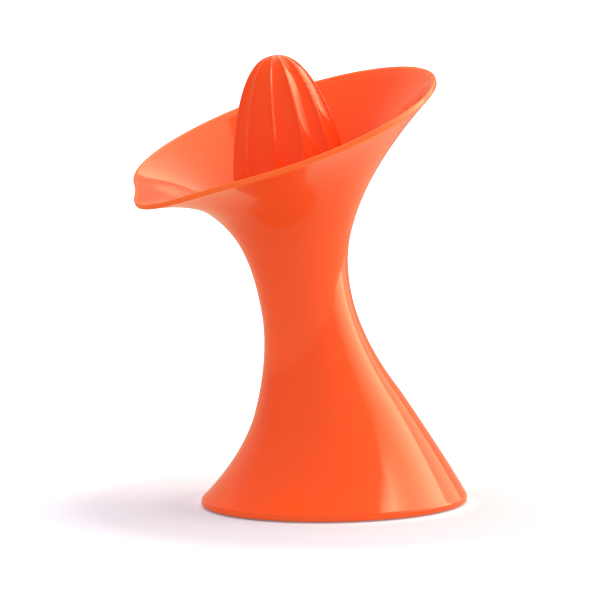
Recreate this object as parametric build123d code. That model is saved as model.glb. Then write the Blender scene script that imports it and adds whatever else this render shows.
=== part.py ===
from build123d import *
import os
from math import cos, exp, pi, radians, sin, sqrt

# A hand juicer: a leaning hourglass body with a slanted, lipped mouth, and a fluted reamer on a strainer.
# Millimetres. The origin is the centre of the foot on the table, +Z is up, and the lip points along -X.

# Body: the hourglass
foot_length = 146.4
foot_width = 129.8
foot_edge = 3.5
foot_flare = 1.824
waist_diameter = 47.5
waist_along = 108.3
mouth_diameter = 161.6
mouth_flare = 2.509
mouth_tilt = 24.9
mouth_shift = 12.5
rim_edge = 2.4
spine_length = 194.4
lean = 14.5
foot_bend = 51.5
mouth_bend = 50.6
wall = 2.8
waist_floor = 3.0
edge_round = 0.7
toe_round = 2.0
rim_round = 1.0

# Body: the pouring lip
lip_reach = 15.9
lip_spread = 16.5
lip_run = 39.0

# Seat in the throat, square to the reamer's axis
seat_place = 0.6707
seat_inset = 2.42
seat_shift = 0.8
seat_tilt = 10.4
seat_off_centre = 0.156
seat_clearance = 0.3
ledge_width = 2.8

# Strainer
strainer_rim = 4.5
strainer_plate = 1.8
strainer_band = 2.6
slot_width = 1.8
slot_gap = 2.2
slot_length = 5.2
slot_rows = 2
slot_row_gap = 1.8
slot_spread = 210.0
hub_span = 15.0
hub_blade = 2.6
hub_height = 24.0
peg_length = 4.0
peg_depth = 2.4
peg_place = 45.0
peg_clearance = 0.3

# Gasket round the strainer
gasket_height = 2.0
gasket_depth = 1.6
gasket_proud = 0.2
gasket_slack = 0.05

# Reamer
reamer_fill = 0.797
reamer_height = 68.2
reamer_swell = 1.5
reamer_blunt = 2.28
reamer_wall = 2.4
reamer_crown = 4.8
flute_count = 12
flute_turn = 6.5
flute_depth = 3.4
ridge_softness = 0.14
tip_flat = 0.12
socket_wall = 2.4
socket_clearance = 0.2

# Base plate and foot pad
foot_gap = 0.6
foot_wall = 4.4
rebate_wall = 2.4
plate_thickness = 2.4
plate_clearance = 0.15
pad_margin = 9.0
pad_thickness = 1.6

# How finely the outlines are drawn
body_points = 48
body_sections = 16
cup_sections = 12
foot_sections = 9
flute_points = 8
reamer_sections = 10

waist_radius = waist_diameter / 2
width_ratio = foot_width / foot_length
overshoot = 3.0
fine = 0.01


def spine_at(along):
    """Point (x, z) and lean of the centre line: upright, a bend, a straight neck and a second bend."""
    lean_turn = radians(lean)
    foot_radius = (foot_bend - foot_edge) / lean_turn
    mouth_radius = mouth_bend / radians(mouth_tilt - lean)
    neck_end = spine_length - mouth_bend
    low_turn = min(max(along - foot_edge, 0), foot_bend - foot_edge) / foot_radius
    straight = min(max(along - foot_bend, 0), neck_end - foot_bend)
    high_turn = min(max(along - neck_end, 0), mouth_bend) / mouth_radius
    turn = low_turn + high_turn
    beyond = max(along - spine_length, 0)
    x = foot_radius * (cos(low_turn) - 1) - straight * sin(low_turn)
    z = min(along, foot_edge) + foot_radius * sin(low_turn) + straight * cos(low_turn)
    x += mouth_radius * (cos(turn) - cos(low_turn)) - beyond * sin(turn)
    z += mouth_radius * (sin(turn) - sin(low_turn)) + beyond * cos(turn)
    return x, z, turn


def mouth_share(along):
    """How far a place is from the waist to the mouth, 0 to 1."""
    return max(0, (along - waist_along) / (spine_length - waist_along))


def section_plane(along):
    x, z, turn = spine_at(along)
    return Plane((x, 0, z), x_dir=(cos(turn), 0, sin(turn)), z_dir=(-sin(turn), 0, cos(turn)))


def hourglass(along):
    """Radius at a place along the centre line, and how fast it grows there."""
    if along < waist_along:
        end, power, span = foot_length / 2, foot_flare, foot_edge - waist_along
    else:
        end, power, span = mouth_diameter / 2, mouth_flare, spine_length - waist_along
    share = (along - waist_along) / span
    rise = end - waist_radius
    return waist_radius + rise * share**power, rise * power * share ** (power - 1) / span


# Sizes that follow from the throat, at the seat's place between the waist (0) and the mouth (1)
seat_along = waist_along + seat_place * (spine_length - waist_along)
seat_radius, seat_growth = hourglass(seat_along)
throat_radius = seat_radius - wall * sqrt(1 + seat_growth**2) - seat_inset
seat_offset = throat_radius * seat_off_centre
strainer_radius = throat_radius - seat_clearance - gasket_proud
reamer_radius = throat_radius * reamer_fill


def section_points(along, inset):
    """Outline of the body across the centre line, set in by a wall measured square to the surface."""
    radius, growth = hourglass(along)
    lip_share = max(0, (along - spine_length + lip_run) / lip_run)
    foot_share = max(0, (waist_along - along) / (waist_along - foot_edge))
    squeeze = 1 + (width_ratio - 1) * foot_share**2
    centre = mouth_shift * mouth_share(along) ** 2
    drift = 2 * mouth_shift * mouth_share(along) / (spine_length - waist_along)
    points = []
    for step in range(body_points):
        angle = 2 * pi * step / body_points - pi
        lip = lip_reach * exp(-((angle / radians(lip_spread)) ** 2))
        steepness = growth + 2 * lip * lip_share / lip_run - drift * cos(angle)
        reach = radius + lip * lip_share**2 - inset * sqrt(1 + steepness**2)
        points.append((centre - reach * cos(angle), reach * squeeze * sin(angle)))
    return points


def section_face(along, inset=0):
    outline = Spline(*section_points(along, inset), periodic=True)
    return section_plane(along) * make_face(outline)


def body_loft(start, end, count, inset=0):
    """Loft with its sections closer together at both ends, where the surface bends most."""
    shares = [(1 - cos(pi * step / (count - 1))) / 2 for step in range(count)]
    return loft([section_face(start + (end - start) * share, inset) for share in shares])


def lies_in(shape, plane):
    return abs(plane.to_local_coords(shape.center()).Z) < fine


def stack(pieces, joints):
    """One solid from pieces that share whole flat faces: those faces go and the rest is sewn."""
    faces = [face for piece in pieces for face in piece.faces()]
    inside = [face for face in faces if any(lies_in(face, joint) for joint in joints)]
    return Solid(Shell([face for face in faces if face not in inside]))


def edges_in(shape, plane):
    return [edge for edge in shape.edges() if lies_in(edge, plane)]


def foot_oval(inset, low, high):
    """Upright oval prism that follows the foot's edge, set in by the inset."""
    outline = Ellipse(foot_length / 2 - inset, foot_width / 2 - inset)
    return Pos(0, 0, low) * extrude(outline, high - low)


def seat_plane():
    """Plane of the strainer's top face, with its origin on the reamer's axis."""
    turn = radians(seat_tilt)
    centre = mouth_shift * mouth_share(seat_along) ** 2 + seat_shift
    place = section_plane(seat_along).from_local_coords((centre, 0, 0))
    return Plane(place, x_dir=(cos(turn), 0, sin(turn)), z_dir=(-sin(turn), 0, cos(turn)))


def disc(radius, low, high, x=0.0):
    return Pos(x, 0, low) * extrude(Circle(radius), high - low)


def at_strainer(angle, radius, height, piece):
    """Turn a piece about the strainer's own centre and set it out by a radius; 0 is the high side."""
    return Pos(-seat_offset, 0, height) * Rot(0, 0, angle) * Pos(radius, 0, 0) * piece


def pegs(clearance):
    """Two pegs under the strainer's rim, or with a clearance the notches that take them."""
    radius = strainer_radius - ledge_width / 2
    depth = peg_depth + clearance
    peg = Box(ledge_width / 2 + 2 * clearance, peg_length + 2 * clearance, depth)
    height = -strainer_rim - depth / 2
    return [at_strainer(side * peg_place, radius, height, peg) for side in (-1, 1)]


def gasket_ring(slack, proud):
    """Ring in the middle of the strainer's edge, from the groove's floor out to beyond the edge."""
    low = -(strainer_rim + gasket_height) / 2
    ring = disc(strainer_radius + proud, low, low + gasket_height, -seat_offset)
    return ring - disc(strainer_radius - gasket_depth + slack, low, low + gasket_height, -seat_offset)


def make_body():
    flare = body_loft(foot_edge, spine_length, body_sections)
    toe = extrude(section_face(foot_edge), foot_gap - foot_edge)
    rim = extrude(section_face(spine_length), rim_edge)
    outer = stack([toe, flare, rim], [section_plane(foot_edge), section_plane(spine_length)])
    edges = edges_in(outer, section_plane(foot_gap)) + edges_in(outer, section_plane(spine_length + rim_edge))
    outer = fillet(edges, edge_round)
    outer = fillet(edges_in(outer, section_plane(foot_edge)), toe_round)
    outer = fillet(edges_in(outer, section_plane(spine_length)), rim_round)

    seat = seat_plane()
    cup = body_loft(waist_along + waist_floor / 2, spine_length + rim_edge + overshoot, cup_sections, wall)
    deep = mouth_diameter
    above = seat * disc(deep, 0, 2 * deep)
    below = seat * disc(throat_radius - ledge_width, -2 * deep, -strainer_rim, -seat_offset)
    bore = seat * disc(throat_radius, -strainer_rim, overshoot, -seat_offset)
    cup = (cup & above) + (cup & below) + bore

    hollow = body_loft(foot_edge, waist_along - waist_floor / 2, foot_sections, wall)
    hollow += foot_oval(foot_wall, foot_gap - overshoot, foot_edge)
    hollow += foot_oval(rebate_wall, foot_gap - overshoot, foot_gap + plate_thickness)
    body = outer - cup - hollow
    for notch in pegs(peg_clearance):
        body -= seat * notch
    return body


def make_strainer():
    piece = disc(strainer_radius, -strainer_rim, 0, -seat_offset)
    piece -= disc(strainer_radius - strainer_band, -strainer_rim, -strainer_plate, -seat_offset)
    piece -= gasket_ring(0, overshoot)
    slot = extrude(SlotOverall(slot_length, slot_width), 2 * strainer_plate, both=True)
    for row in range(slot_rows):
        row_radius = strainer_radius - strainer_band - slot_row_gap / 2
        row_radius -= slot_length / 2 + row * (slot_length + slot_row_gap)
        pitch = (slot_width + slot_gap) / (row_radius - slot_length / 2) * 180 / pi
        spread = slot_spread / (1 + row)
        count = int(spread / pitch)
        for step in range(count + 1):
            angle = 180 + (step - count / 2) * pitch
            piece -= at_strainer(angle, row_radius, 0, slot)
    for turn in (0, 90):
        piece += Rot(0, 0, turn) * Pos(0, 0, hub_height / 2) * Box(hub_span, hub_blade, hub_height)
    for peg in pegs(0):
        piece += peg
    return seat_plane() * piece


def make_gasket():
    return seat_plane() * gasket_ring(gasket_slack, gasket_proud)


def dome_radius(below_tip):
    """Radius of the reamer over its ridges, at a depth below the tip."""
    share = 1 - (1 - below_tip / reamer_height) ** reamer_swell
    return reamer_radius * share ** (1 / reamer_blunt)


def fluted_face(below_tip):
    radius = dome_radius(below_tip)
    depth = flute_depth * radius / reamer_radius
    crest = ridge_softness
    points = []
    count = flute_count * flute_points
    for step in range(count):
        angle = 2 * pi * step / count
        hollow = sqrt(sin(flute_count * angle / 2) ** 2 + crest**2) - crest
        reach = radius - depth * hollow / (sqrt(1 + crest**2) - crest)
        points.append((reach * cos(angle), reach * sin(angle)))
    face = make_face(Spline(*points, periodic=True))
    return Pos(0, 0, reamer_height - below_tip) * Rot(0, 0, flute_turn) * face


def make_reamer():
    shares = [step / reamer_sections for step in range(reamer_sections + 1)]
    depths = [tip_flat + (reamer_height - tip_flat) * share**2 for share in reversed(shares)]
    piece = loft([fluted_face(depth) for depth in depths])

    inner = []
    for share in shares:
        drop = (reamer_height - reamer_crown) * (1 - (1 - share) ** 2)
        radius = dome_radius(reamer_height - drop) - flute_depth - reamer_wall
        if radius > hub_span / 2:
            inner.append((radius, drop))
    top = inner[-1][1]
    profile = Polyline((inner[0][0], 0), (0, 0), (0, top), (inner[-1][0], top))
    profile += Spline(*inner)
    hollow = revolve(Plane.XZ * make_face(profile), Axis.Z)
    socket = disc(hub_span / 2 + socket_wall, socket_clearance, top)
    piece -= hollow - socket
    span = hub_span + 2 * socket_clearance
    cross = Pos(0, 0, top / 2) * Box(span, hub_blade + 2 * socket_clearance, top)
    for turn in (0, 90):
        piece -= Rot(0, 0, turn) * cross
    return seat_plane() * piece


def make_base_plate():
    plate = foot_oval(rebate_wall + plate_clearance, foot_gap, foot_gap + plate_thickness)
    return plate - foot_oval(pad_margin - plate_clearance, foot_gap - overshoot, pad_thickness)


def make_foot_pad():
    pad = foot_oval(pad_margin, 0, pad_thickness)
    return chamfer(pad.edges().group_by(Axis.Z)[0], foot_gap / 2)


os.makedirs("parts", exist_ok=True)
nodes = {
    "body_shell": make_body,
    "strainer": make_strainer,
    "strainer_gasket": make_gasket,
    "reamer": make_reamer,
    "base_plate": make_base_plate,
    "foot_pad": make_foot_pad,
}
for name, make in nodes.items():
    piece = make()
    export_step(piece, f"parts/{name}.step")
    print(name, len(piece.solids()), round(piece.volume), piece.is_valid)
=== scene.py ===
# %% [markdown]
# # A leaning hand juicer
# The real object is one glossy orange moulding, a leaning hourglass with a slanted, lipped bowl, and a fluted
# reamer that stands on a strainer in its throat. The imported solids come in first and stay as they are. What
# shows a curved, polished surface is then built again with clean rows of faces, because a reflection shows
# every uneven triangle.

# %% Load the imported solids
import math

import bmesh
import bpy
import numpy as np
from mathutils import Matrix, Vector


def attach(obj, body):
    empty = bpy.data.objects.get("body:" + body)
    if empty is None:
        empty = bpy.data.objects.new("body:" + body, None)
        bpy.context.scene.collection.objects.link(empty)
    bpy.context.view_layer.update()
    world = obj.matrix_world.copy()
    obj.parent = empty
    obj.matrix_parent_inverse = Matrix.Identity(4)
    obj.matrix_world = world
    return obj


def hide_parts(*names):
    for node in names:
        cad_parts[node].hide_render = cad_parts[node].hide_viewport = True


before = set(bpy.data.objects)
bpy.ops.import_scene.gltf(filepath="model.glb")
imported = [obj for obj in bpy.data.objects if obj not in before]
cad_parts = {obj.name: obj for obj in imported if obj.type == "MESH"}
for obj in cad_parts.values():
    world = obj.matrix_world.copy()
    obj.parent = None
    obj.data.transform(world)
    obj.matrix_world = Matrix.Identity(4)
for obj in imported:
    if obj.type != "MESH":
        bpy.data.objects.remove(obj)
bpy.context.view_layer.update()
scene = bpy.context.scene
scene.view_settings.view_transform = "Standard"

# %% [markdown]
# ## Camera
# The juicer was photographed from about a metre away with a long lens, a little above the waist and turned
# 42 degrees from its side. A long lens keeps the foot's oval flat. The small shift puts the juicer where it
# stands in the frame, without turning the camera.

# %% Camera
VIEW_TURN, VIEW_RISE = math.radians(41.6), math.radians(2.7)
VIEW_DISTANCE, LENS, SENSOR_WIDTH = 0.936, 108.6, 36
FRAME_SHIFT_X, FRAME_SHIFT_Y = -0.0217, 0.0078
aim = Vector((-0.0156, 0, 0.104))
towards_camera = Vector(
    (
        -math.sin(VIEW_TURN) * math.cos(VIEW_RISE),
        -math.cos(VIEW_TURN) * math.cos(VIEW_RISE),
        math.sin(VIEW_RISE),
    )
)
camera_data = bpy.data.cameras.new("camera")
camera_data.sensor_width = SENSOR_WIDTH
camera_data.lens = LENS
camera_data.shift_x, camera_data.shift_y = FRAME_SHIFT_X, FRAME_SHIFT_Y
camera = bpy.data.objects.new("camera", camera_data)
camera.location = aim + towards_camera * VIEW_DISTANCE
camera.rotation_euler = towards_camera.to_track_quat("Z", "Y").to_euler()
scene.collection.objects.link(camera)
scene.camera = camera
print("camera at", [round(v, 3) for v in camera.location])

# %% [markdown]
# ## The rule of the body
# The body is a moulded hourglass. It could be turned on a lathe, but it leans and its mouth is slanted, so no
# single axis fits. Instead every cross-section is a circle that stands square to a bent centre line, and a place
# along the line and an angle round it give a point. The sizes of that rule come first, in metres.

# %% Sizes of the body
MM = 0.001
FOOT_LENGTH, FOOT_WIDTH, FOOT_EDGE, FOOT_FLARE = 146.4 * MM, 129.8 * MM, 3.5 * MM, 1.824
WAIST_RADIUS, WAIST_ALONG = 23.75 * MM, 108.3 * MM
MOUTH_RADIUS, MOUTH_FLARE, MOUTH_SHIFT = 80.8 * MM, 2.509, 12.5 * MM
SPINE_LENGTH, FOOT_BEND, MOUTH_BEND = 194.4 * MM, 51.5 * MM, 50.6 * MM
LEAN, MOUTH_TILT = math.radians(14.5), math.radians(24.9)
LIP_REACH, LIP_SPREAD, LIP_RUN = 15.9 * MM, math.radians(16.5), 39.0 * MM
RIM_EDGE, WALL, WAIST_FLOOR = 2.4 * MM, 2.8 * MM, 3.0 * MM
COLUMNS = 192
angles = np.arange(COLUMNS) * 2 * math.pi / COLUMNS - math.pi
print("points in a row:", COLUMNS)

# %% [markdown]
# The centre line stands upright in the foot, bends over to the lean of the neck, runs straight and bends once
# more towards the mouth. It could be a Bezier curve, but two arcs give its place and lean by plain sines and
# cosines, and NumPy works them out for a whole row of values at once.


# %% Centre line of the body
def spine_at(along):
    """Place (x, z) and lean of the centre line: upright, a bend, a straight neck and a second bend."""
    foot_radius = (FOOT_BEND - FOOT_EDGE) / LEAN
    mouth_radius = MOUTH_BEND / (MOUTH_TILT - LEAN)
    neck_end = SPINE_LENGTH - MOUTH_BEND
    low = np.clip(along - FOOT_EDGE, 0, FOOT_BEND - FOOT_EDGE) / foot_radius
    straight = np.clip(along - FOOT_BEND, 0, neck_end - FOOT_BEND)
    turn = low + np.clip(along - neck_end, 0, MOUTH_BEND) / mouth_radius
    beyond = np.maximum(along - SPINE_LENGTH, 0)
    x = foot_radius * (np.cos(low) - 1) - straight * np.sin(low)
    z = np.minimum(along, FOOT_EDGE) + foot_radius * np.sin(low) + straight * np.cos(low)
    x = x + mouth_radius * (np.cos(turn) - np.cos(low)) - beyond * np.sin(turn)
    z = z + mouth_radius * (np.sin(turn) - np.sin(low)) + beyond * np.cos(turn)
    return x, z, turn


print("upper end of the centre line, x, z and lean:", [round(float(v), 4) for v in spine_at(SPINE_LENGTH)])

# %% [markdown]
# The radius of a cross-section follows two power curves that meet at the waist. Near the mouth the circle moves
# towards the high side and grows a beak, which is the pouring lip; near the foot it is squeezed to an oval. For
# the inside of the wall the radius shrinks by the wall's thickness, and by more where the wall flares, so that
# the wall stays even when it is measured square to its surface.


# %% One row of points round the body
def wall_row(along, inset=0.0):
    """One row of points round the body: its outside, or with an inset the inside of its wall."""
    along = np.broadcast_to(np.asarray(along, float), angles.shape)
    shaped = np.maximum(along, FOOT_EDGE) if inset else np.clip(along, FOOT_EDGE, SPINE_LENGTH)
    mouth_span, foot_span = SPINE_LENGTH - WAIST_ALONG, WAIST_ALONG - FOOT_EDGE
    high = np.maximum((shaped - WAIST_ALONG) / mouth_span, 0)
    low = np.maximum((WAIST_ALONG - shaped) / foot_span, 0)
    mouth_rise, foot_rise = MOUTH_RADIUS - WAIST_RADIUS, FOOT_LENGTH / 2 - WAIST_RADIUS
    radius = WAIST_RADIUS + mouth_rise * high**MOUTH_FLARE + foot_rise * low**FOOT_FLARE
    growth = mouth_rise * MOUTH_FLARE * high ** (MOUTH_FLARE - 1) / mouth_span
    growth = growth - foot_rise * FOOT_FLARE * low ** (FOOT_FLARE - 1) / foot_span
    lip = LIP_REACH * np.exp(-((angles / LIP_SPREAD) ** 2))
    lip_share = np.maximum((shaped - SPINE_LENGTH + LIP_RUN) / LIP_RUN, 0)
    drift = 2 * MOUTH_SHIFT * high / mouth_span
    steepness = growth + 2 * lip * lip_share / LIP_RUN - drift * np.cos(angles)
    reach = radius + lip * lip_share**2 - inset * np.sqrt(1 + steepness**2)
    squeeze = 1 + (FOOT_WIDTH / FOOT_LENGTH - 1) * low**2
    across = MOUTH_SHIFT * high**2 - reach * np.cos(angles)
    x, z, turn = spine_at(along)
    side = reach * squeeze * np.sin(angles)
    return np.stack([x + across * np.cos(turn), side, z + across * np.sin(turn)], axis=1)


def outside(along):
    return wall_row(along)


def inside(along):
    return wall_row(along, WALL)


print("tip of the lip:", (outside(SPINE_LENGTH)[COLUMNS // 2] / MM).round(1), "mm")

# %% [markdown]
# ## The seat in the throat
# Inside the bowl a flat shoulder, a short bore and a ledge carry the strainer. They are square to the reamer's
# axis, not to the centre line, so the seat gets an origin and two directions of its own.

# %% Seat and its own coordinates
SEAT_PLACE, SEAT_SHIFT, SEAT_TILT = 0.6707, 0.8 * MM, math.radians(10.4)
SEAT_ALONG = WAIST_ALONG + SEAT_PLACE * (SPINE_LENGTH - WAIST_ALONG)
SEAT_OFFSET = 6.0 * MM
seat_x, seat_z, seat_turn = (float(v) for v in spine_at(SEAT_ALONG))
seat_across = MOUTH_SHIFT * SEAT_PLACE**2 + SEAT_SHIFT
seat_origin = np.array(
    [seat_x + seat_across * math.cos(seat_turn), 0, seat_z + seat_across * math.sin(seat_turn)]
)
seat_right = np.array([math.cos(SEAT_TILT), 0, math.sin(SEAT_TILT)])
seat_up = np.array([-math.sin(SEAT_TILT), 0, math.cos(SEAT_TILT)])
throat_centre = seat_origin - seat_right * SEAT_OFFSET
print("seat at", (seat_origin / MM).round(1), "mm")

# %% [markdown]
# The bowl meets the flat shoulder along a curve that no single row follows. A Boolean modifier could cut it, but
# it leaves thin triangles that show in a gloss. Here each column of points finds its own place on that curve by
# halving steps, and the mesh keeps its even rows.

# %% Where the bowl meets the seat
THROAT_RADIUS, LEDGE_WIDTH, STRAINER_RIM = 38.5 * MM, 2.8 * MM, 4.5 * MM
HALVINGS = 40


def seat_height(points):
    return (points - seat_origin) @ seat_up


def throat_distance(points):
    return np.hypot((points - throat_centre) @ seat_right, points[:, 1])


def solve_along(measure, target, low, high):
    """For each column, the place along the line where the inner wall's measure reaches the target."""
    low, high = np.full(COLUMNS, low), np.full(COLUMNS, high)
    for _ in range(HALVINGS):
        middle = (low + high) / 2
        beyond = measure(inside(middle)) > target
        high, low = np.where(beyond, middle, high), np.where(beyond, low, middle)
    return (low + high) / 2


cup_floor = WAIST_ALONG + WAIST_FLOOR / 2
ledge_radius = THROAT_RADIUS - LEDGE_WIDTH
shoulder_along = solve_along(seat_height, 0.0, cup_floor, SPINE_LENGTH)
neck_along = solve_along(throat_distance, ledge_radius, cup_floor, SEAT_ALONG)
reaches = (shoulder_along / MM).round(1)
print("shoulder from", reaches.min(), "to", reaches.max(), "mm along the centre line")

# %% [markdown]
# ## The body
# The wall is one closed skin. It starts at the roof of the hollow foot, goes down inside, round the foot's
# edge, up the outside, over the rim, down into the bowl, across the seat and ends at the floor of the juice
# cup. A thin surface with a Solidify modifier would give no seat and an even rim, so the rows are listed from
# one end of the skin to the other. Three helpers add rows: along the wall, straight across, and round a corner.

# %% Helpers that add rows
rows = []


def add_run(make, start, end, count):
    """Rows from start to end, without the last one."""
    for share in np.arange(count) / count:
        rows.append(make(start + (end - start) * share))


def add_blend(first, last, count):
    """Straight rows from one row to another, without the last one."""
    for share in np.arange(count) / count:
        rows.append(first + (last - first) * share)


def add_corner(before, corner, after, count=7):
    """A corner turned through a short curve, without its last row."""
    for t in np.arange(count) / count:
        rows.append(before * (1 - t) ** 2 + corner * 2 * t * (1 - t) + after * t**2)


def middle_of(row):
    return np.repeat(row.mean(axis=0)[None], COLUMNS, axis=0)


hollow_roof = WAIST_ALONG - WAIST_FLOOR / 2
add_blend(middle_of(inside(hollow_roof)), inside(hollow_roof), count=5)
print("rows across the roof of the hollow foot:", len(rows))

# %% [markdown]
# The foot is hollow, and a rebate in its edge takes the base plate. Edges that show are turned through a short
# curve, because no moulding has a perfectly sharp one and a rounded edge catches a line of light.

# %% Rows of the hollow foot and its edge
FOOT_GAP, FOOT_WALL, REBATE_WALL, PLATE_THICKNESS = 0.6 * MM, 4.4 * MM, 2.4 * MM, 2.4 * MM
EDGE_ROUND, TOE_ROUND = 0.7 * MM, 0.75 * MM


def foot_oval(inset, height):
    long, wide = FOOT_LENGTH / 2 - inset, FOOT_WIDTH / 2 - inset
    return np.stack([-long * np.cos(angles), wide * np.sin(angles), np.full(COLUMNS, height)], axis=1)


plate_top = FOOT_GAP + PLATE_THICKNESS
above_plate, rebate_top = foot_oval(FOOT_WALL, plate_top), foot_oval(REBATE_WALL, plate_top)
rebate_bottom, edge_start = foot_oval(REBATE_WALL, FOOT_GAP), foot_oval(EDGE_ROUND, FOOT_GAP)
add_run(inside, hollow_roof, FOOT_EDGE, count=44)
add_blend(inside(FOOT_EDGE), above_plate, count=2)
add_blend(above_plate, rebate_top, count=2)
add_blend(rebate_top, rebate_bottom, count=3)
add_blend(rebate_bottom, edge_start, count=3)
add_corner(edge_start, outside(FOOT_GAP), outside(FOOT_GAP + EDGE_ROUND))
add_run(outside, FOOT_GAP + EDGE_ROUND, FOOT_EDGE - TOE_ROUND, count=3)
add_corner(outside(FOOT_EDGE - TOE_ROUND), outside(FOOT_EDGE), outside(FOOT_EDGE + TOE_ROUND), count=9)
print("rows up to the top of the foot's edge:", len(rows))

# %% [markdown]
# The outside goes up in one sweep of close rows, so that the long band of light on it has no kinks. The rim is a
# short upright edge with a narrow flat on top, rounded on both sides. The rows of the rim are counted, because
# the plastic is thinnest there and light comes through it, which a yellower colour later paints on as a glow.

# %% Rows of the outside and the rim
RIM_ROUND, RIM_FLAT_START, RIM_FLAT_END = 0.7 * MM, 0.45, 0.55
rim_top = SPINE_LENGTH + RIM_EDGE
outer_lip, inner_lip = outside(rim_top), inside(rim_top)


def across_rim(share):
    return outer_lip * (1 - share) + inner_lip * share


add_run(outside, FOOT_EDGE + TOE_ROUND, SPINE_LENGTH - RIM_ROUND, count=150)
rim_start = len(rows)
add_corner(
    outside(SPINE_LENGTH - RIM_ROUND), outside(SPINE_LENGTH), outside(SPINE_LENGTH + RIM_ROUND), count=9
)
add_run(outside, SPINE_LENGTH + RIM_ROUND, rim_top - RIM_ROUND, count=3)
add_corner(outside(rim_top - RIM_ROUND), outer_lip, across_rim(RIM_FLAT_START))
add_blend(across_rim(RIM_FLAT_START), across_rim(RIM_FLAT_END), count=1)
add_corner(across_rim(RIM_FLAT_END), inner_lip, inside(rim_top - RIM_ROUND))
rim_end = len(rows)
print("rows up to the rim:", rim_end, "of them on the rim:", rim_end - rim_start)

# %% [markdown]
# Inside the bowl the rows run down to the shoulder, which each column reaches at its own place. From there they
# follow the seat: across the shoulder, down the bore, in over the ledge, and down the cup to its closed floor.

# %% Rows of the bowl, the seat and the juice cup
BORE_ROUND = 0.3 * MM
shoulder = inside(shoulder_along)
bearing = np.arctan2(shoulder[:, 1], (shoulder - throat_centre) @ seat_right)


def throat_ring(radius, height):
    """Points round the throat's own centre, at the bearings of the shoulder's points."""
    flat = np.outer(radius * np.cos(bearing), seat_right) + np.outer(radius * np.sin(bearing), [0, 1, 0])
    return throat_centre + flat + height * seat_up


shoulder_end = throat_ring(THROAT_RADIUS + BORE_ROUND, 0)
bore_top, bore_start = throat_ring(THROAT_RADIUS, 0), throat_ring(THROAT_RADIUS, -BORE_ROUND)
bore_bottom, ledge = throat_ring(THROAT_RADIUS, -STRAINER_RIM), throat_ring(ledge_radius, -STRAINER_RIM)
floor_edge = inside(cup_floor)
add_run(inside, rim_top - RIM_ROUND, shoulder_along, count=100)
add_blend(shoulder, shoulder_end, count=3)
add_corner(shoulder_end, bore_top, bore_start, count=4)
add_blend(bore_start, bore_bottom, count=3)
add_blend(bore_bottom, ledge, count=2)
add_blend(ledge, inside(neck_along), count=3)
add_run(inside, neck_along, cup_floor, count=40)
add_blend(floor_edge, middle_of(floor_edge), count=6)
rows.append(middle_of(floor_edge))
print("rows in all:", len(rows))

# %% [markdown]
# A quad between each pair of neighbours in two rows gives the mesh. The first and the last row are single points
# repeated, so doubles are merged before the normals are turned outwards. Smooth shading stays on everywhere but
# across steep corners. The rows of the rim are marked with an attribute, which a material reads to paint a glow
# there.

# %% The skin becomes a mesh
SHARP_CORNER = math.radians(40)


def linked_object(name, mesh):
    made = bpy.data.objects.new(name, mesh)
    scene.collection.objects.link(made)
    return made


def skin_object(name, row_list, painted_glow_rows):
    """A closed mesh from rows of points, with some rows marked for a painted glow."""
    count = len(row_list[0])
    quads = []
    for row in range(0, (len(row_list) - 1) * count, count):
        for column in range(count):
            after = (column + 1) % count
            quads.append((row + column, row + after, row + count + after, row + count + column))
    mesh = bpy.data.meshes.new(name)
    mesh.from_pydata(np.concatenate(row_list).tolist(), [], quads)
    glow_per_point = np.repeat([float(row in painted_glow_rows) for row in range(len(row_list))], count)
    mesh.attributes.new("painted_rim_glow", "FLOAT", "POINT").data.foreach_set("value", glow_per_point)
    work = bmesh.new()
    work.from_mesh(mesh)
    bmesh.ops.remove_doubles(work, verts=work.verts, dist=1e-6)
    bmesh.ops.recalc_face_normals(work, faces=work.faces)
    work.to_mesh(mesh)
    work.free()
    mesh.shade_smooth()
    mesh.set_sharp_from_angle(angle=SHARP_CORNER)
    return linked_object(name, mesh)


body = skin_object("juicer_body", rows, range(rim_start, rim_end))
print("body faces:", len(body.data.polygons))

# %% [markdown]
# ## The reamer
# The reamer is a dome with twelve flutes, shallow arcs with a narrow rounded rib raised between them. Its shape
# is a rule too: one curve for the dome and one wave for the arcs and ribs. Geometry Nodes can hold that rule
# with its sizes as named inputs, so the flutes can be counted or deepened in the modifier panel. A small class
# lets the rule be written as ordinary arithmetic, and each sign adds one Math node.


# %% A value in a node tree that can be reckoned with
class Quantity:
    """A number or field in a node tree; arithmetic on it adds Math nodes."""

    def __init__(self, tree, socket):
        self.tree, self.socket = tree, socket

    def join(self, operation, *values):
        node = self.tree.nodes.new("ShaderNodeMath")
        node.operation = operation
        for place, value in zip(node.inputs, values):
            if isinstance(value, Quantity):
                self.tree.links.new(value.socket, place)
            else:
                place.default_value = value
        return Quantity(self.tree, node.outputs[0])

    def __add__(self, other):
        return self.join("ADD", self, other)

    def __sub__(self, other):
        return self.join("SUBTRACT", self, other)

    def __rsub__(self, other):
        return self.join("SUBTRACT", other, self)

    def __mul__(self, other):
        return self.join("MULTIPLY", self, other)

    def __truediv__(self, other):
        return self.join("DIVIDE", self, other)

    def __rtruediv__(self, other):
        return self.join("DIVIDE", other, self)

    def __pow__(self, other):
        return self.join("POWER", self, other)

    def through(self, operation):
        return self.join(operation, self)


print("signs that add a Math node: + - * / **")

# %% [markdown]
# The tree starts with its inputs. Each size becomes a socket with a name and a default, and the same names give
# the sizes back as quantities for the rule. The last three place the dome on the seat.

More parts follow.
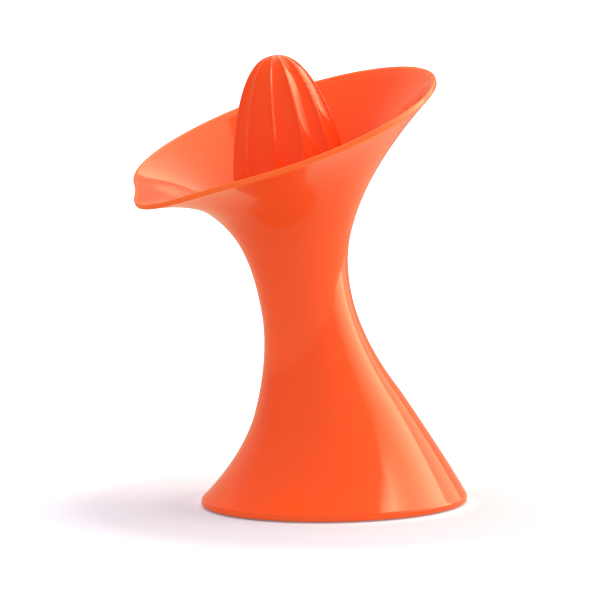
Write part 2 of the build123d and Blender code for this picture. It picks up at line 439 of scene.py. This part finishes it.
# %% Inputs of the dome
dome_sizes = {
    "Height": 68.2 * MM,
    "Radius": THROAT_RADIUS * 0.797,
    "Swell": 1.5,
    "Blunt": 2.28,
    "Flutes": 12.0,
    "Flute Turn": math.radians(6.5),
    "Flute Depth": 3.8 * MM,
    "Rib Share": 0.45,
    "Rib Width": 0.20,
    "Wall": 2.4 * MM,
    "Lining Height": 56.0 * MM,
    "Seat X": float(seat_origin[0]),
    "Seat Z": float(seat_origin[2]),
    "Tilt": SEAT_TILT,
}
tree = bpy.data.node_groups.new("fluted dome", "GeometryNodeTree")
tree.interface.new_socket("Geometry", in_out="OUTPUT", socket_type="NodeSocketGeometry")
dome_inputs = {}
for label, size in dome_sizes.items():
    socket = tree.interface.new_socket(label, in_out="INPUT", socket_type="NodeSocketFloat")
    socket.default_value = size
    dome_inputs[label] = socket.identifier
group_in = tree.nodes.new("NodeGroupInput")
group_out = tree.nodes.new("NodeGroupOutput")
size_of = {label: Quantity(tree, group_in.outputs[label]) for label in dome_sizes}
print("named inputs:", list(dome_sizes))

# %% [markdown]
# The dome is hollow, so it needs three strips: the fluted skin, a plain lining inside it, and the ring between
# them at the foot. Each strip starts as a flat grid. Its X becomes the turn round the axis, its Y the share of
# the way up, and a Set Position node bends it into place.


# %% Rules for the strips of the dome
def grid_strip(columns, count):
    """A flat grid, with the turn round the dome (0 to a full turn) and the share along it (0 to 1)."""
    grid = tree.nodes.new("GeometryNodeMeshGrid")
    grid.inputs["Size X"].default_value = 1
    grid.inputs["Size Y"].default_value = 1
    grid.inputs["Vertices X"].default_value = columns + 1
    grid.inputs["Vertices Y"].default_value = count + 1
    place = tree.nodes.new("GeometryNodeInputPosition")
    parts = tree.nodes.new("ShaderNodeSeparateXYZ")
    tree.links.new(place.outputs[0], parts.inputs[0])
    turn = (Quantity(tree, parts.outputs["X"]) + 0.5) * (2 * math.pi)
    return grid.outputs["Mesh"], turn, Quantity(tree, parts.outputs["Y"]) + 0.5


def dome_radius(depth):
    """Radius over the ribs at a depth below the tip."""
    left = 1 - depth / size_of["Height"]
    return size_of["Radius"] * (1 - left ** size_of["Swell"]) ** (1 / size_of["Blunt"])


def fluted(radius, turn):
    """The radius less the flutes: shallow arcs with a narrow rounded rib raised between them."""
    wave = (turn * size_of["Flutes"] * 0.5).through("SINE")
    arc = wave.through("ABSOLUTE")
    spread = size_of["Rib Width"] * size_of["Rib Width"]
    beside_rib = wave * wave * (spread + 1.0) / (wave * wave + spread)
    hollow = arc + (beside_rib - arc) * size_of["Rib Share"]
    return radius * (1 - size_of["Flute Depth"] / size_of["Radius"] * hollow)


def bent_strip(mesh, turn, reach, height):
    """The grid, wrapped round the dome's axis."""
    place = tree.nodes.new("ShaderNodeCombineXYZ")
    turned = turn + size_of["Flute Turn"]
    for axis, value in zip("XYZ", (reach * turned.through("COSINE"), reach * turned.through("SINE"), height)):
        tree.links.new(value.socket, place.inputs[axis])
    setter = tree.nodes.new("GeometryNodeSetPosition")
    tree.links.new(mesh, setter.inputs["Geometry"])
    tree.links.new(place.outputs[0], setter.inputs["Position"])
    return setter.outputs["Geometry"]


print("nodes before the strips are built:", len(tree.nodes))

# %% [markdown]
# The skin's rows lie closer together near the tip, where the dome bends most: the depth goes with the square of
# the share. Thirty-two columns for each flute keep its rib round.

# %% Skin, lining and foot ring
FLUTE_COLUMNS, SKIN_ROWS, LINING_ROWS, RING_ROWS = 384, 100, 40, 3
mesh, turn, share = grid_strip(FLUTE_COLUMNS, SKIN_ROWS)
depth = (1 - share) * (1 - share) * size_of["Height"]
skin = bent_strip(mesh, turn, fluted(dome_radius(depth), turn), size_of["Height"] - depth)
mesh, turn, share = grid_strip(FLUTE_COLUMNS, LINING_ROWS)
lining_height = share * size_of["Lining Height"]
lining_radius = dome_radius(size_of["Height"] - lining_height) - size_of["Flute Depth"] - size_of["Wall"]
lining = bent_strip(mesh, turn, lining_radius, lining_height)
mesh, turn, share = grid_strip(FLUTE_COLUMNS, RING_ROWS)
inner_foot = size_of["Radius"] - size_of["Flute Depth"] - size_of["Wall"]
foot_reach = fluted(size_of["Radius"], turn) * (1 - share) + inner_foot * share
foot_ring = bent_strip(mesh, turn, foot_reach, share * 0.0)
print("math nodes in the dome:", sum(n.bl_idname == "ShaderNodeMath" for n in tree.nodes))

# %% [markdown]
# The three strips are joined and their meeting edges merged. A Transform node tilts the dome to the seat's
# axis and sets it down there, so the finished mesh has its place in its points. The tree ends in Realize
# Instances and Set Material, so that the result can be kept as a plain mesh.

# %% Finish the tree
MERGE_DISTANCE = 2e-6


def chained(kind, *sources):
    """One more geometry node behind some sockets."""
    node = tree.nodes.new(kind)
    for source in sources:
        tree.links.new(source, node.inputs[0])
    return node


joined = chained("GeometryNodeJoinGeometry", skin, lining, foot_ring)
merged = chained("GeometryNodeMergeByDistance", joined.outputs[0])
merged.inputs["Distance"].default_value = MERGE_DISTANCE
placed = chained("GeometryNodeTransform", merged.outputs[0])
translation = tree.nodes.new("ShaderNodeCombineXYZ")
tree.links.new(size_of["Seat X"].socket, translation.inputs["X"])
tree.links.new(size_of["Seat Z"].socket, translation.inputs["Z"])
tree.links.new(translation.outputs[0], placed.inputs["Translation"])
rotation = tree.nodes.new("ShaderNodeCombineXYZ")
tree.links.new((size_of["Tilt"] * -1.0).socket, rotation.inputs["Y"])
tree.links.new(rotation.outputs[0], placed.inputs["Rotation"])
smooth = chained("GeometryNodeSetShadeSmooth", placed.outputs[0])
realized = chained("GeometryNodeRealizeInstances", smooth.outputs[0])
finish_node = chained("GeometryNodeSetMaterial", realized.outputs[0])
tree.links.new(finish_node.outputs[0], group_out.inputs[0])
print("nodes in the tree:", len(tree.nodes))

# %% [markdown]
# ## Moulded plastic
# All the orange pieces are polished injection mouldings. A clean gloss alone looks like a computer picture, so
# the finish is made of noises on Object coordinates, which stay on the piece when it moves. These helpers make a
# material, a noise, a value stretched from one range to another, and a mix of two colours.

# %% Helpers for materials
MIX_FIRST, MIX_SECOND, MIX_RESULT = 6, 7, 2
NOISE_SPAN = 0.3, 0.7


def new_material(name):
    made = bpy.data.materials.new(name)
    made.use_nodes = True
    nodes = made.node_tree.nodes
    return made, nodes, made.node_tree.links, nodes["Principled BSDF"]


def noise_on(nodes, links, scale, detail):
    """Noise on Object coordinates; the scale is in features per metre."""
    place = nodes.new("ShaderNodeTexCoord")
    noise = nodes.new("ShaderNodeTexNoise")
    noise.inputs["Scale"].default_value = scale
    noise.inputs["Detail"].default_value = detail
    links.new(place.outputs["Object"], noise.inputs["Vector"])
    return noise.outputs["Fac"]


def stretched(nodes, links, source, before, after):
    """A value stretched from one range to another and held at its ends."""
    stretch = nodes.new("ShaderNodeMapRange")
    for name, value in zip(("From Min", "From Max", "To Min", "To Max"), (*before, *after)):
        stretch.inputs[name].default_value = value
    links.new(source, stretch.inputs["Value"])
    return stretch.outputs["Result"]


def mix_colours(nodes, links, share, first, second):
    """A mix of two colours by a share; the first may come from another node."""
    mix = nodes.new("ShaderNodeMix")
    mix.data_type = "RGBA"
    if isinstance(first, tuple):
        mix.inputs[MIX_FIRST].default_value = (*first, 1)
    else:
        links.new(first, mix.inputs[MIX_FIRST])
    mix.inputs[MIX_SECOND].default_value = (*second, 1)
    links.new(share, mix.inputs[0])
    return mix.outputs[MIX_RESULT]


def bumped(nodes, links, surface, height, strength, distance):
    """Let a height bend the surface's reflections."""
    bump = nodes.new("ShaderNodeBump")
    bump.inputs["Strength"].default_value = strength
    bump.inputs["Distance"].default_value = distance
    links.new(height, bump.inputs["Height"])
    links.new(bump.outputs["Normal"], surface.inputs["Normal"])


print("most of a noise lies between", NOISE_SPAN)

# %% [markdown]
# Four things make the plastic: a slow drift of colour where the melt flowed, a painted glow, a yellower colour
# where the rim is thin and light comes through, a fine haze of rubbing that varies the gloss, and a faint
# waviness of the surface that bends reflections a little. The reamer is a little redder than the body, as in the
# photograph.

# %% Finish for polished mouldings
PLASTIC_IOR, GLOSS = 1.46, (0.07, 0.12)


def moulded_plastic(name, first_colour, second_colour, rim_glow_colour):
    made, nodes, links, surface = new_material(name)
    flow = stretched(nodes, links, noise_on(nodes, links, scale=14, detail=1.0), NOISE_SPAN, (0, 1))
    plain = mix_colours(nodes, links, flow, first_colour, second_colour)
    # The rim's rows get a yellower painted glow: colour that stands for light coming through the thin plastic.
    rim_glow_mask = nodes.new("ShaderNodeAttribute")
    rim_glow_mask.attribute_name = "painted_rim_glow"
    links.new(mix_colours(nodes, links, rim_glow_mask.outputs["Fac"], plain, rim_glow_colour), surface.inputs["Base Color"])
    haze = noise_on(nodes, links, scale=120, detail=4.0)
    links.new(stretched(nodes, links, haze, NOISE_SPAN, GLOSS), surface.inputs["Roughness"])
    waviness = noise_on(nodes, links, scale=45, detail=1.0)
    bumped(nodes, links, surface, waviness, strength=0.05, distance=0.4 * MM)
    surface.inputs["IOR"].default_value = PLASTIC_IOR
    return made


# The third colour of each is the painted glow of the thin rim.
orange_colours = (0.90, 0.094, 0.020), (0.88, 0.087, 0.017), (0.91, 0.13, 0.022)
red_colours = (0.88, 0.078, 0.014), (0.86, 0.071, 0.012), (0.90, 0.12, 0.018)
orange_plastic = moulded_plastic("orange_plastic", *orange_colours)
red_plastic = moulded_plastic("red_orange_plastic", *red_colours)
body.data.materials.append(orange_plastic)
print("finishes:", orange_plastic.name, "and", red_plastic.name)

# %% [markdown]
# The tree now has its material and can run. A modifier's inputs are set by their identifiers before the object
# is first evaluated. What comes out is kept as a plain mesh and the modifier is taken away, because the exported
# model holds meshes only.


# %% The reamer becomes a mesh
def from_nodes(name, node_tree, inputs):
    """Run a node tree on an empty object and keep the result as a plain mesh."""
    made = linked_object(name, bpy.data.meshes.new(name))
    modifier = made.modifiers.new("nodes", "NODES")
    modifier.node_group = node_tree
    for identifier, value in inputs.items():
        modifier[identifier] = value
    evaluated = made.evaluated_get(bpy.context.evaluated_depsgraph_get())
    mesh = bpy.data.meshes.new_from_object(evaluated)
    made.modifiers.remove(modifier)
    made.data = mesh
    mesh.name = name
    return made


finish_node.inputs["Material"].default_value = red_plastic
reamer = from_nodes("reamer_dome", tree, {dome_inputs[label]: size for label, size in dome_sizes.items()})
print("reamer faces:", len(reamer.data.polygons))

# %% [markdown]
# ## The reamer's socket
# Inside the dome a tube with a cross-shaped slot fits over the strainer's hub, so the reamer can't turn. It
# shows only when the reamer is lifted off. A cylinder could be cut with a Boolean modifier, but two outlines are
# enough: a circle and a cross, drawn at both ends.

# %% Outlines of the socket tube
HUB_SPAN, HUB_BLADE, SOCKET_GAP, SOCKET_WALL, SOCKET_TOP = 15.0 * MM, 2.6 * MM, 0.2 * MM, 2.4 * MM, 55 * MM
TUBE_POINTS = 64


def cross_outline(span, blade):
    long, short = span / 2, blade / 2
    corner = [(long, -short), (long, short), (short, short)]
    points = []
    for quarter in range(4):
        c, s = round(math.cos(quarter * math.pi / 2)), round(math.sin(quarter * math.pi / 2))
        points += [(x * c - y * s, x * s + y * c) for x, y in corner]
    return points


def circle_outline(radius):
    steps = [2 * math.pi * step / TUBE_POINTS for step in range(TUBE_POINTS)]
    return [(radius * math.cos(step), radius * math.sin(step)) for step in steps]


slot_outline = cross_outline(HUB_SPAN + 2 * SOCKET_GAP, HUB_BLADE + 2 * SOCKET_GAP)
tube_outline = circle_outline(HUB_SPAN / 2 + SOCKET_WALL)
print("points round the slot and the tube:", len(slot_outline), len(tube_outline))

# %% [markdown]
# BMesh builds the tube face by face: a wall of quads up each outline, a fill between the two outlines at the open
# lower end, and a cap on each at the upper end, inside the dome.

# %% Socket tube inside the dome
SHARP_SLOT = math.radians(35)


def on_seat(x, y, height):
    return Vector(seat_origin + seat_right * x + np.array([0, y, 0]) + seat_up * height)


def closed_pairs(ring):
    return zip(ring, ring[1:] + ring[:1])


def slotted_tube(name, outlines, low, high):
    """A tube with a shaped slot, open below and closed above."""
    work = bmesh.new()
    low_edges, caps = [], []
    for outline in outlines:
        low_ring, high_ring = (
            [work.verts.new(on_seat(x, y, height)) for x, y in outline] for height in (low, high)
        )
        for (a, b), (c, d) in closed_pairs(list(zip(low_ring, high_ring))):
            work.faces.new((a, c, d, b))
        low_edges += [work.edges.get(pair) for pair in closed_pairs(low_ring)]
        caps.append(high_ring)
    bmesh.ops.triangle_fill(work, edges=low_edges, use_beauty=True)
    for ring in reversed(caps):
        work.faces.new(ring)
    bmesh.ops.recalc_face_normals(work, faces=work.faces)
    mesh = bpy.data.meshes.new(name)
    work.to_mesh(mesh)
    work.free()
    mesh.shade_smooth()
    mesh.set_sharp_from_angle(angle=SHARP_SLOT)
    return linked_object(name, mesh)


socket_tube = slotted_tube("reamer_socket", (tube_outline, slot_outline), SOCKET_GAP, SOCKET_TOP)
socket_tube.data.materials.append(red_plastic)
print("socket faces:", len(socket_tube.data.polygons))

# %% [markdown]
# ## Pieces kept from the solids
# The strainer, its gasket, the base plate and the foot pad are flat or plainly round, so their solids already
# look right. They only need finishes: the strainer is moulded like the body, the gasket is soft white
# silicone, the base plate has a fine spark-eroded grain and the pad is black rubber.

# %% Finishes for the kept pieces
WEAR_SCALE, GRAIN_STRENGTH, SILICONE_GLOW = 40, 0.4, 0.2


def grained(name, colour, worn_colour, roughness, grain_scale, grain_depth):
    """A matt surface with fine grain and slightly worn patches."""
    made, nodes, links, surface = new_material(name)
    wear = stretched(nodes, links, noise_on(nodes, links, WEAR_SCALE, detail=5.0), NOISE_SPAN, (0, 1))
    links.new(mix_colours(nodes, links, wear, colour, worn_colour), surface.inputs["Base Color"])
    links.new(stretched(nodes, links, wear, NOISE_SPAN, roughness), surface.inputs["Roughness"])
    bumped(nodes, links, surface, noise_on(nodes, links, grain_scale, detail=3.0), GRAIN_STRENGTH, grain_depth)
    return made


silicone = grained("white_silicone", (0.80, 0.77, 0.70), (0.72, 0.69, 0.62), (0.35, 0.5), 900, 0.05 * MM)
silicone.node_tree.nodes["Principled BSDF"].inputs["Subsurface Weight"].default_value = SILICONE_GLOW
grained_orange = grained("grained_orange", (0.80, 0.10, 0.022), (0.74, 0.09, 0.02), (0.45, 0.6), 1600, 0.1 * MM)
black_rubber = grained("black_rubber", (0.018, 0.018, 0.018), (0.03, 0.03, 0.03), (0.6, 0.8), 1100, 0.15 * MM)
kept = {
    "strainer": orange_plastic,
    "strainer_gasket": silicone,
    "base_plate": grained_orange,
    "foot_pad": black_rubber,
}
for node, material in kept.items():
    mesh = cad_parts[node].data
    mesh.materials.clear()
    mesh.materials.append(material)
print("kept pieces:", sorted(kept))

# %% [markdown]
# ## Stage and light
# The photograph has a white paper sweep, a floor that curves up into a wall. A plane would show a horizon, so
# the sweep is a strip of faces along a profile: floor, quarter circle, wall. It faces the camera, and it lies a
# hair lower than the foot pad so that no two faces share a plane.

# %% White sweep
BEND_RADIUS, WALL_BACK, WALL_TOP, SWEEP_FRONT, HALF_WIDTH = 0.8, 2.4, 2.6, -2.2, 2.5
BEND_STEPS, FLOOR_DROP = 12, 0.2 * MM
view_right = Vector((math.cos(VIEW_TURN), -math.sin(VIEW_TURN), 0))
view_back = Vector((math.sin(VIEW_TURN), math.cos(VIEW_TURN), 0))
bend = [math.radians(90 * step / BEND_STEPS) for step in range(BEND_STEPS + 1)]
profile = [(SWEEP_FRONT, 0.0)]
profile += [(WALL_BACK + BEND_RADIUS * (math.sin(t) - 1), BEND_RADIUS * (1 - math.cos(t))) for t in bend]
profile += [(WALL_BACK, WALL_TOP)]
sweep_points = []
for back, up in profile:
    for side in (-HALF_WIDTH, HALF_WIDTH):
        sweep_points.append(view_right * side + view_back * back + Vector((0, 0, up - FLOOR_DROP)))
sweep_faces = [(2 * n, 2 * n + 1, 2 * n + 3, 2 * n + 2) for n in range(len(profile) - 1)]
sweep_mesh = bpy.data.meshes.new("sweep")
sweep_mesh.from_pydata(sweep_points, [], sweep_faces)
sweep_mesh.shade_smooth()
sweep = linked_object("sweep", sweep_mesh)
print("sweep points:", len(sweep_points))

# %% [markdown]
# Light Path tells the paper which kind of ray meets it. The camera sees a pale surface, which takes the soft
# shadow, and a white glow on top of it that starts beyond the shadow and throws no light on the juicer. Right
# under the foot's edge a faint warm glow stands for light that comes through the plastic. Reflections see the
# paper in the warm tint of the lamps, and scattered light is thrown back a little less than the camera sees.

# %% Paper of the sweep
SEEN, REFLECTED, SCATTERED = (0.665, 0.69, 0.80), (0.60, 0.43, 0.31), (0.62, 0.62, 0.66)
DARK, PAPER_ROUGHNESS = (0, 0, 0), 0.9
GLOW_STOPS = (0.067, (0.30, 0.20, 0.18)), (0.077, DARK), (0.125, DARK), (0.30, (0.92, 0.96, 1.0))
paper, nodes, links, surface = new_material("white_paper")
surface.inputs["Roughness"].default_value = PAPER_ROUGHNESS
surface.inputs["Specular IOR Level"].default_value = 0.0
path = nodes.new("ShaderNodeLightPath")
tint = mix_colours(nodes, links, path.outputs["Is Glossy Ray"], SEEN, REFLECTED)
tint = mix_colours(nodes, links, path.outputs["Is Diffuse Ray"], tint, SCATTERED)
links.new(tint, surface.inputs["Base Color"])
straight = nodes.new("ShaderNodeMath")
straight.operation = "MAXIMUM"
links.new(path.outputs["Is Camera Ray"], straight.inputs[0])
links.new(path.outputs["Is Transmission Ray"], straight.inputs[1])
links.new(straight.outputs[0], surface.inputs["Emission Strength"])
distance = nodes.new("ShaderNodeVectorMath")
distance.operation = "LENGTH"
links.new(nodes.new("ShaderNodeTexCoord").outputs["Object"], distance.inputs[0])
glow = nodes.new("ShaderNodeValToRGB")
stops = glow.color_ramp.elements
for metres, _ in GLOW_STOPS[1:-1]:
    stops.new(metres)
for stop, (metres, colour) in zip(stops, GLOW_STOPS):
    stop.position, stop.color = metres, (*colour, 1)
links.new(distance.outputs["Value"], glow.inputs["Fac"])
links.new(glow.outputs["Color"], surface.inputs["Emission Color"])
sweep_mesh.materials.append(paper)
print("the glow starts", GLOW_STOPS[2][0], "m from the middle of the foot")

# %% [markdown]
# The world is the room round the sweep. Light that is scattered sees it as an even white tent, which fills in
# the shadows. Reflections see a pale room only behind the juicer, where the background is, and a dim room on the
# camera's side, so a gloss has something dark to show as well. The camera sees white on every side.

# %% Room
TENT, ROOM_FRONT_TO_BACK, ROOM_EDGE = 1.14, (0.15, 0.4), (0.3, 0.7)
world = bpy.data.worlds.new("studio")
world.use_nodes = True
scene.world = world
nodes, links = world.node_tree.nodes, world.node_tree.links
background = nodes["Background"]
background.inputs["Color"].default_value = (1, 1, 1, 1)
towards_back = nodes.new("ShaderNodeVectorMath")
towards_back.operation = "DOT_PRODUCT"
towards_back.inputs[1].default_value = view_back
links.new(nodes.new("ShaderNodeTexCoord").outputs["Generated"], towards_back.inputs[0])
room = stretched(nodes, links, towards_back.outputs["Value"], ROOM_EDGE, ROOM_FRONT_TO_BACK)
path = nodes.new("ShaderNodeLightPath")
seen = nodes.new("ShaderNodeMath")
seen.operation = "MAXIMUM"
links.new(path.outputs["Is Camera Ray"], seen.inputs[0])
links.new(room, seen.inputs[1])
strength = nodes.new("ShaderNodeMix")
links.new(path.outputs["Is Diffuse Ray"], strength.inputs["Factor"])
links.new(seen.outputs[0], strength.inputs["A"])
strength.inputs["B"].default_value = TENT
links.new(strength.outputs["Result"], background.inputs["Strength"])
print("the room's reflection, front to back:", ROOM_FRONT_TO_BACK)

# %% [markdown]
# The lamps are rectangular area lights, as soft boxes in a studio are. The cloth of a real box is brighter in
# one place than in another, which shows in a gloss. So a box may also fade: a lamp has nodes of its own, and the
# Parametric output says where on the lamp a ray ends.

# %% Softboxes and directions
WARM = (1.0, 0.79, 0.48)
FADE_HEIGHTS = 0.50, 0.70


def towards(azimuth, rise):
    """A direction by its turn from the camera towards the right, and its rise above the floor, in degrees."""
    turn, lift = math.radians(azimuth), math.radians(rise)
    flat = view_right * math.sin(turn) - view_back * math.cos(turn)
    return flat * math.cos(lift) + Vector((0, 0, math.sin(lift)))


def softbox(name, place, faces, size, power):
    """A warm rectangular lamp at a place, turned to send its light along a direction."""
    lamp = bpy.data.lights.new(name, "AREA")
    lamp.shape = "RECTANGLE"
    lamp.size, lamp.size_y = size
    lamp.energy = power
    lamp.color = WARM
    holder = linked_object(name, lamp)
    holder.location = place
    holder.rotation_euler = (-faces).to_track_quat("Z", "Y").to_euler()
    return holder


def fade_across(lamp):
    """Let a box grow from a dim front edge to full strength, sooner and brighter towards its top."""
    lamp.use_nodes = True
    nodes, links = lamp.node_tree.nodes, lamp.node_tree.links
    place = nodes.new("ShaderNodeSeparateXYZ")
    links.new(nodes.new("ShaderNodeNewGeometry").outputs["Parametric"], place.inputs[0])
    fade = stretched(nodes, links, place.outputs["X"], (0.0, 1.0), (0.0, 1.0))
    for name, bottom_to_top in (("From Max", (0.85, 0.26)), ("To Max", (1.0, 1.5))):
        rise = stretched(nodes, links, place.outputs["Y"], FADE_HEIGHTS, bottom_to_top)
        links.new(rise, fade.node.inputs[name])
    links.new(fade, nodes["Emission"].inputs["Strength"])


print("the fade changes between these shares of a box's height:", FADE_HEIGHTS)

# %% [markdown]
# A tall warm box on the right lights the juicer and throws the shadow. What the gloss sees of it is a separate
# panel just in front, which fades towards the camera, so the band on the flank and the streaks on the reamer can
# be set without changing the light. Two lamps in one plane hide each other in a reflection, so the panel stands
# 2 cm nearer. A dim panel further back draws the thin line beside the band, and a box above and behind lights
# the inside of the bowl.

# %% Lamps of the studio
KEY_TURN, BACK_TURN, OVERHEAD_TURN, OVERHEAD_RISE = 95, 129, 150, 66
KEY_WIDTH, SHEEN_WIDTH, BACK_WIDTH, BOX_HEIGHT, OVERHEAD_SIZE = 0.85, 1.1, 0.38, 1.4, (1.4, 1.3)
BOX_RISE, PANEL_GAP, OVERHEAD_DISTANCE = Vector((0, 0, 0.62)), 0.02, 1.3
middle = Vector((0, 0, 0.1))
key_side, back_side = towards(KEY_TURN, 0), towards(BACK_TURN, 0)
key_place = middle + key_side + BOX_RISE
key = softbox("tall_box_right", key_place, -key_side, (KEY_WIDTH, BOX_HEIGHT), power=11.0)
key.visible_glossy = False
sheen_shift = towards(KEY_TURN - 90, 0) * ((SHEEN_WIDTH - KEY_WIDTH) / 2)
sheen_place = key_place - key_side * PANEL_GAP + sheen_shift
sheen = softbox("tall_box_sheen", sheen_place, -key_side, (SHEEN_WIDTH, BOX_HEIGHT), power=28.0)
sheen.visible_diffuse = False
fade_across(sheen.data)
back_place = middle + back_side + BOX_RISE
back_sheen = softbox("back_box_sheen", back_place, -back_side, (BACK_WIDTH, BOX_HEIGHT), power=2.6)
back_sheen.visible_diffuse = False
overhead_place = middle + towards(OVERHEAD_TURN, OVERHEAD_RISE) * OVERHEAD_DISTANCE
softbox("box_overhead", overhead_place, middle - overhead_place, OVERHEAD_SIZE, power=10.0)

# %% [markdown]
# ## Join the pieces to the solids
# Each new piece rides on the body that its solid belongs to and stands for that solid, so it moves when the
# strainer or the reamer is lifted.

# %% Ride and replace
for piece, rides_on, node, slot_name in (
    (body, "body", "body_shell", "body"),
    (reamer, "reamer", "reamer", "reamer"),
    (socket_tube, "reamer", "reamer", "reamer"),
):
    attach(piece, rides_on)
    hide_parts(node)
